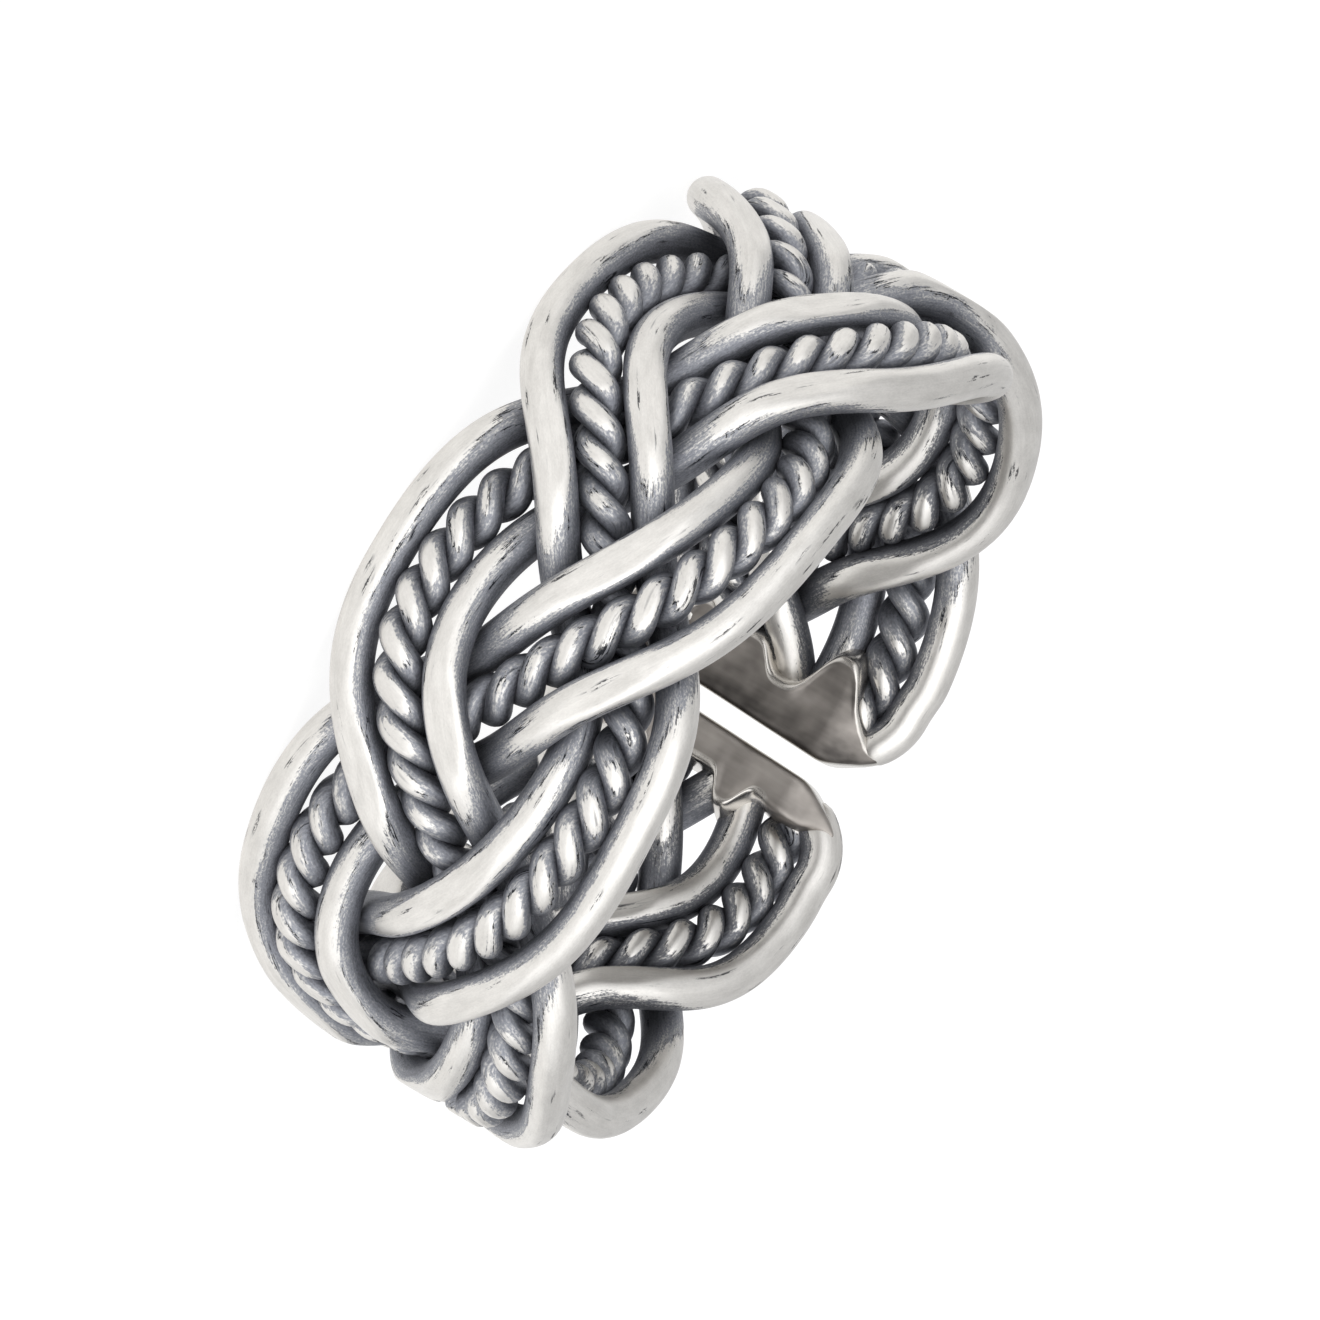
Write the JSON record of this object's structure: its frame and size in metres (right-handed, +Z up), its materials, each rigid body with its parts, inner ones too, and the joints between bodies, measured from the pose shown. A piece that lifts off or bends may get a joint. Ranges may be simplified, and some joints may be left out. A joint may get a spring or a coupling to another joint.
{
  "type": "adjustable ring",
  "caption": "Open, adjustable band ring plaited flat from strands of plain and twisted silver wire, with soldered end plates.",
  "frame": {"origin": "on the finger hole's axis, at the surface that the ring lies on", "axes": "+Z up along the finger hole's axis, +Y towards the gap in the band"},
  "size_m": [0.0214, 0.0212, 0.0086],
  "materials": {
    "silver_wire": "blackened silver, polished on the high spots",
    "silver_plate": "satin silver, lightly darkened"
  },
  "bodies": {
    "root": {"strand_a": "silver_wire", "strand_b": "silver_wire", "strand_c": "silver_wire", "end_plate_left": "silver_plate", "end_plate_right": "silver_plate"}
  },
  "joints": []
}
